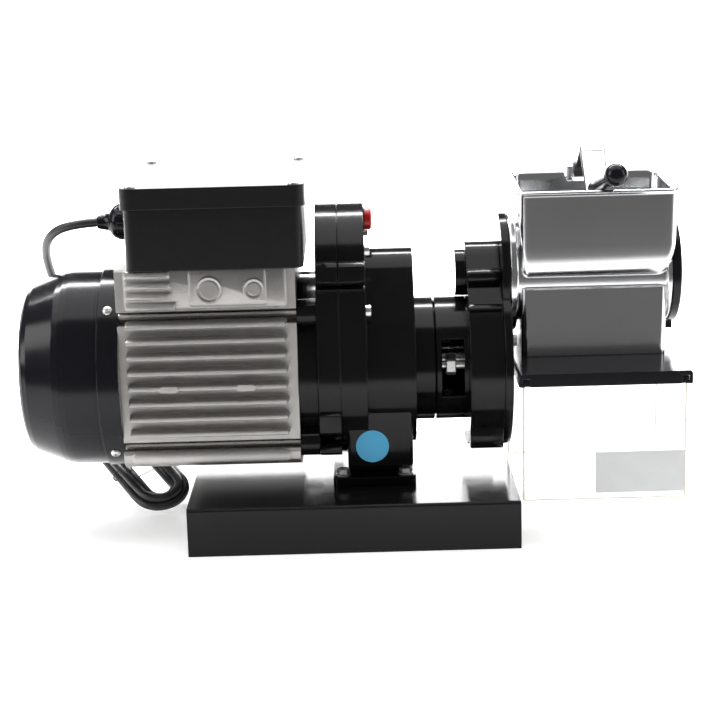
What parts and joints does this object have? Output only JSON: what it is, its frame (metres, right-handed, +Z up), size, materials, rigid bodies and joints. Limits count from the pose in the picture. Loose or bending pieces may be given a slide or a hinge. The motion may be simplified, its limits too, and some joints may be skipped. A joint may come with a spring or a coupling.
{
  "type": "electric grater",
  "caption": "Motor-driven cheese grater: geared motor on a channel base, cast grating head with hopper and press lever, clear collecting bin.",
  "frame": {"origin": "centre of the base's underside plane under the middle of the machine's length and width", "axes": "+X from the fan cowl to the grating head's end cover, +Y to the back, +Z up"},
  "size_m": [0.4486, 0.2105, 0.262],
  "materials": {
    "gloss_black": "glossy black coating",
    "black_plastic": "glossy black moulding",
    "satin_black": "satin black moulding",
    "cast_aluminium": "as cast",
    "polished_aluminium": "polished with fine scratches",
    "zinc": "zinc plated",
    "chrome": "polished",
    "steel": "machined",
    "core_steel": "laminated",
    "copper": "enamelled winding",
    "bronze": "sintered",
    "capacitor_white": "smooth",
    "red": "smooth",
    "clear": "clear plastic",
    "cord_black": "satin sheath"
  },
  "bodies": {
    "frame": {"base_channel": "gloss_black", "base_bolts": "zinc", "gearcase_rear": "gloss_black", "gearcase_front": "gloss_black", "case_screws": "zinc", "stator_frame": "cast_aluminium", "stator_core": "core_steel", "stator_windings": "copper", "drive_end_shield": "gloss_black", "fan_end_shield": "cast_aluminium", "tie_rods": "zinc", "fan_cowl": "black_plastic", "cowl_screws": "zinc", "motor_bearings": "steel", "layshaft_bushes": "bronze", "output_bushes": "bronze", "reset_switch_body": "satin_black", "neck_studs": "zinc", "gearbox_housing": "gloss_black", "gearbox_cover": "gloss_black", "cover_screws": "zinc", "grater_body": "polished_aluminium", "drum_bushes": "bronze", "hinge_pin": "zinc", "terminal_box": "satin_black", "terminal_box_lid": "satin_black", "lid_screws": "zinc", "run_capacitor": "capacitor_white", "cable_gland": "satin_black", "bin_lid": "black_plastic", "power_cord": "cord_black", "cord_hank": "cord_black", "plug_lead": "cord_black", "power_plug": "satin_black"},
    "rotor": {"rotor_shaft": "steel", "rotor_core": "core_steel", "cooling_fan": "satin_black", "motor_pinion": "steel"},
    "layshaft_set": {"layshaft": "steel", "layshaft_gear": "steel", "layshaft_pinion": "steel"},
    "output_set": {"output_shaft": "steel", "output_gear": "steel", "drive_gear": "steel"},
    "roller": {"drum_shaft": "steel", "roller_pinion": "steel", "grating_drum": "steel"},
    "press_lever": {"press_arm": "chrome", "pusher": "polished_aluminium", "lever_grip": "black_plastic"},
    "reset_push": {"reset_button": "red"},
    "bin": {"collecting_bin": "clear"},
    "barrel_end": {"end_cover": "black_plastic", "end_cover_bush": "bronze"}
  },
  "joints": [
    {"name": "rotor_spin", "type": "hinge", "parent": "frame", "child": "rotor", "pos_m": [0, 0, 0.112], "axis": [1, 0, 0], "continuous": true},
    {"name": "layshaft_spin", "type": "hinge", "parent": "frame", "child": "layshaft_set", "pos_m": [0, 0, 0.164], "axis": [1, 0, 0], "continuous": true},
    {"name": "output_spin", "type": "hinge", "parent": "frame", "child": "output_set", "pos_m": [0, 0, 0.112], "axis": [1, 0, 0], "continuous": true},
    {"name": "roller_spin", "type": "hinge", "parent": "frame", "child": "roller", "pos_m": [0, 0, 0.172], "axis": [1, 0, 0], "continuous": true},
    {"name": "lever_hinge", "type": "hinge", "parent": "frame", "child": "press_lever", "pos_m": [0.16925, 0.042, 0.236], "axis": [-1, 0, 0], "range_deg": [0, 75]},
    {"name": "button_press", "type": "slide", "parent": "frame", "child": "reset_push", "axis": [-1, 0, 0], "range_m": [0, 0.002], "stiffness_N_per_m": 800},
    {"name": "bin_slide", "type": "slide", "parent": "frame", "child": "bin", "axis": [0, -1, 0], "range_m": [0, 0.12]},
    {"name": "cover_twist", "type": "hinge", "parent": "frame", "child": "barrel_end", "pos_m": [0.22, 0, 0.172], "axis": [1, 0, 0], "range_deg": [0, 30]}
  ],
  "couplings": [
    {"joint": "layshaft_spin", "follows": "rotor_spin", "ratio": -0.3},
    {"joint": "output_spin", "follows": "rotor_spin", "ratio": 0.11053},
    {"joint": "roller_spin", "follows": "rotor_spin", "ratio": -0.36316}
  ]
}
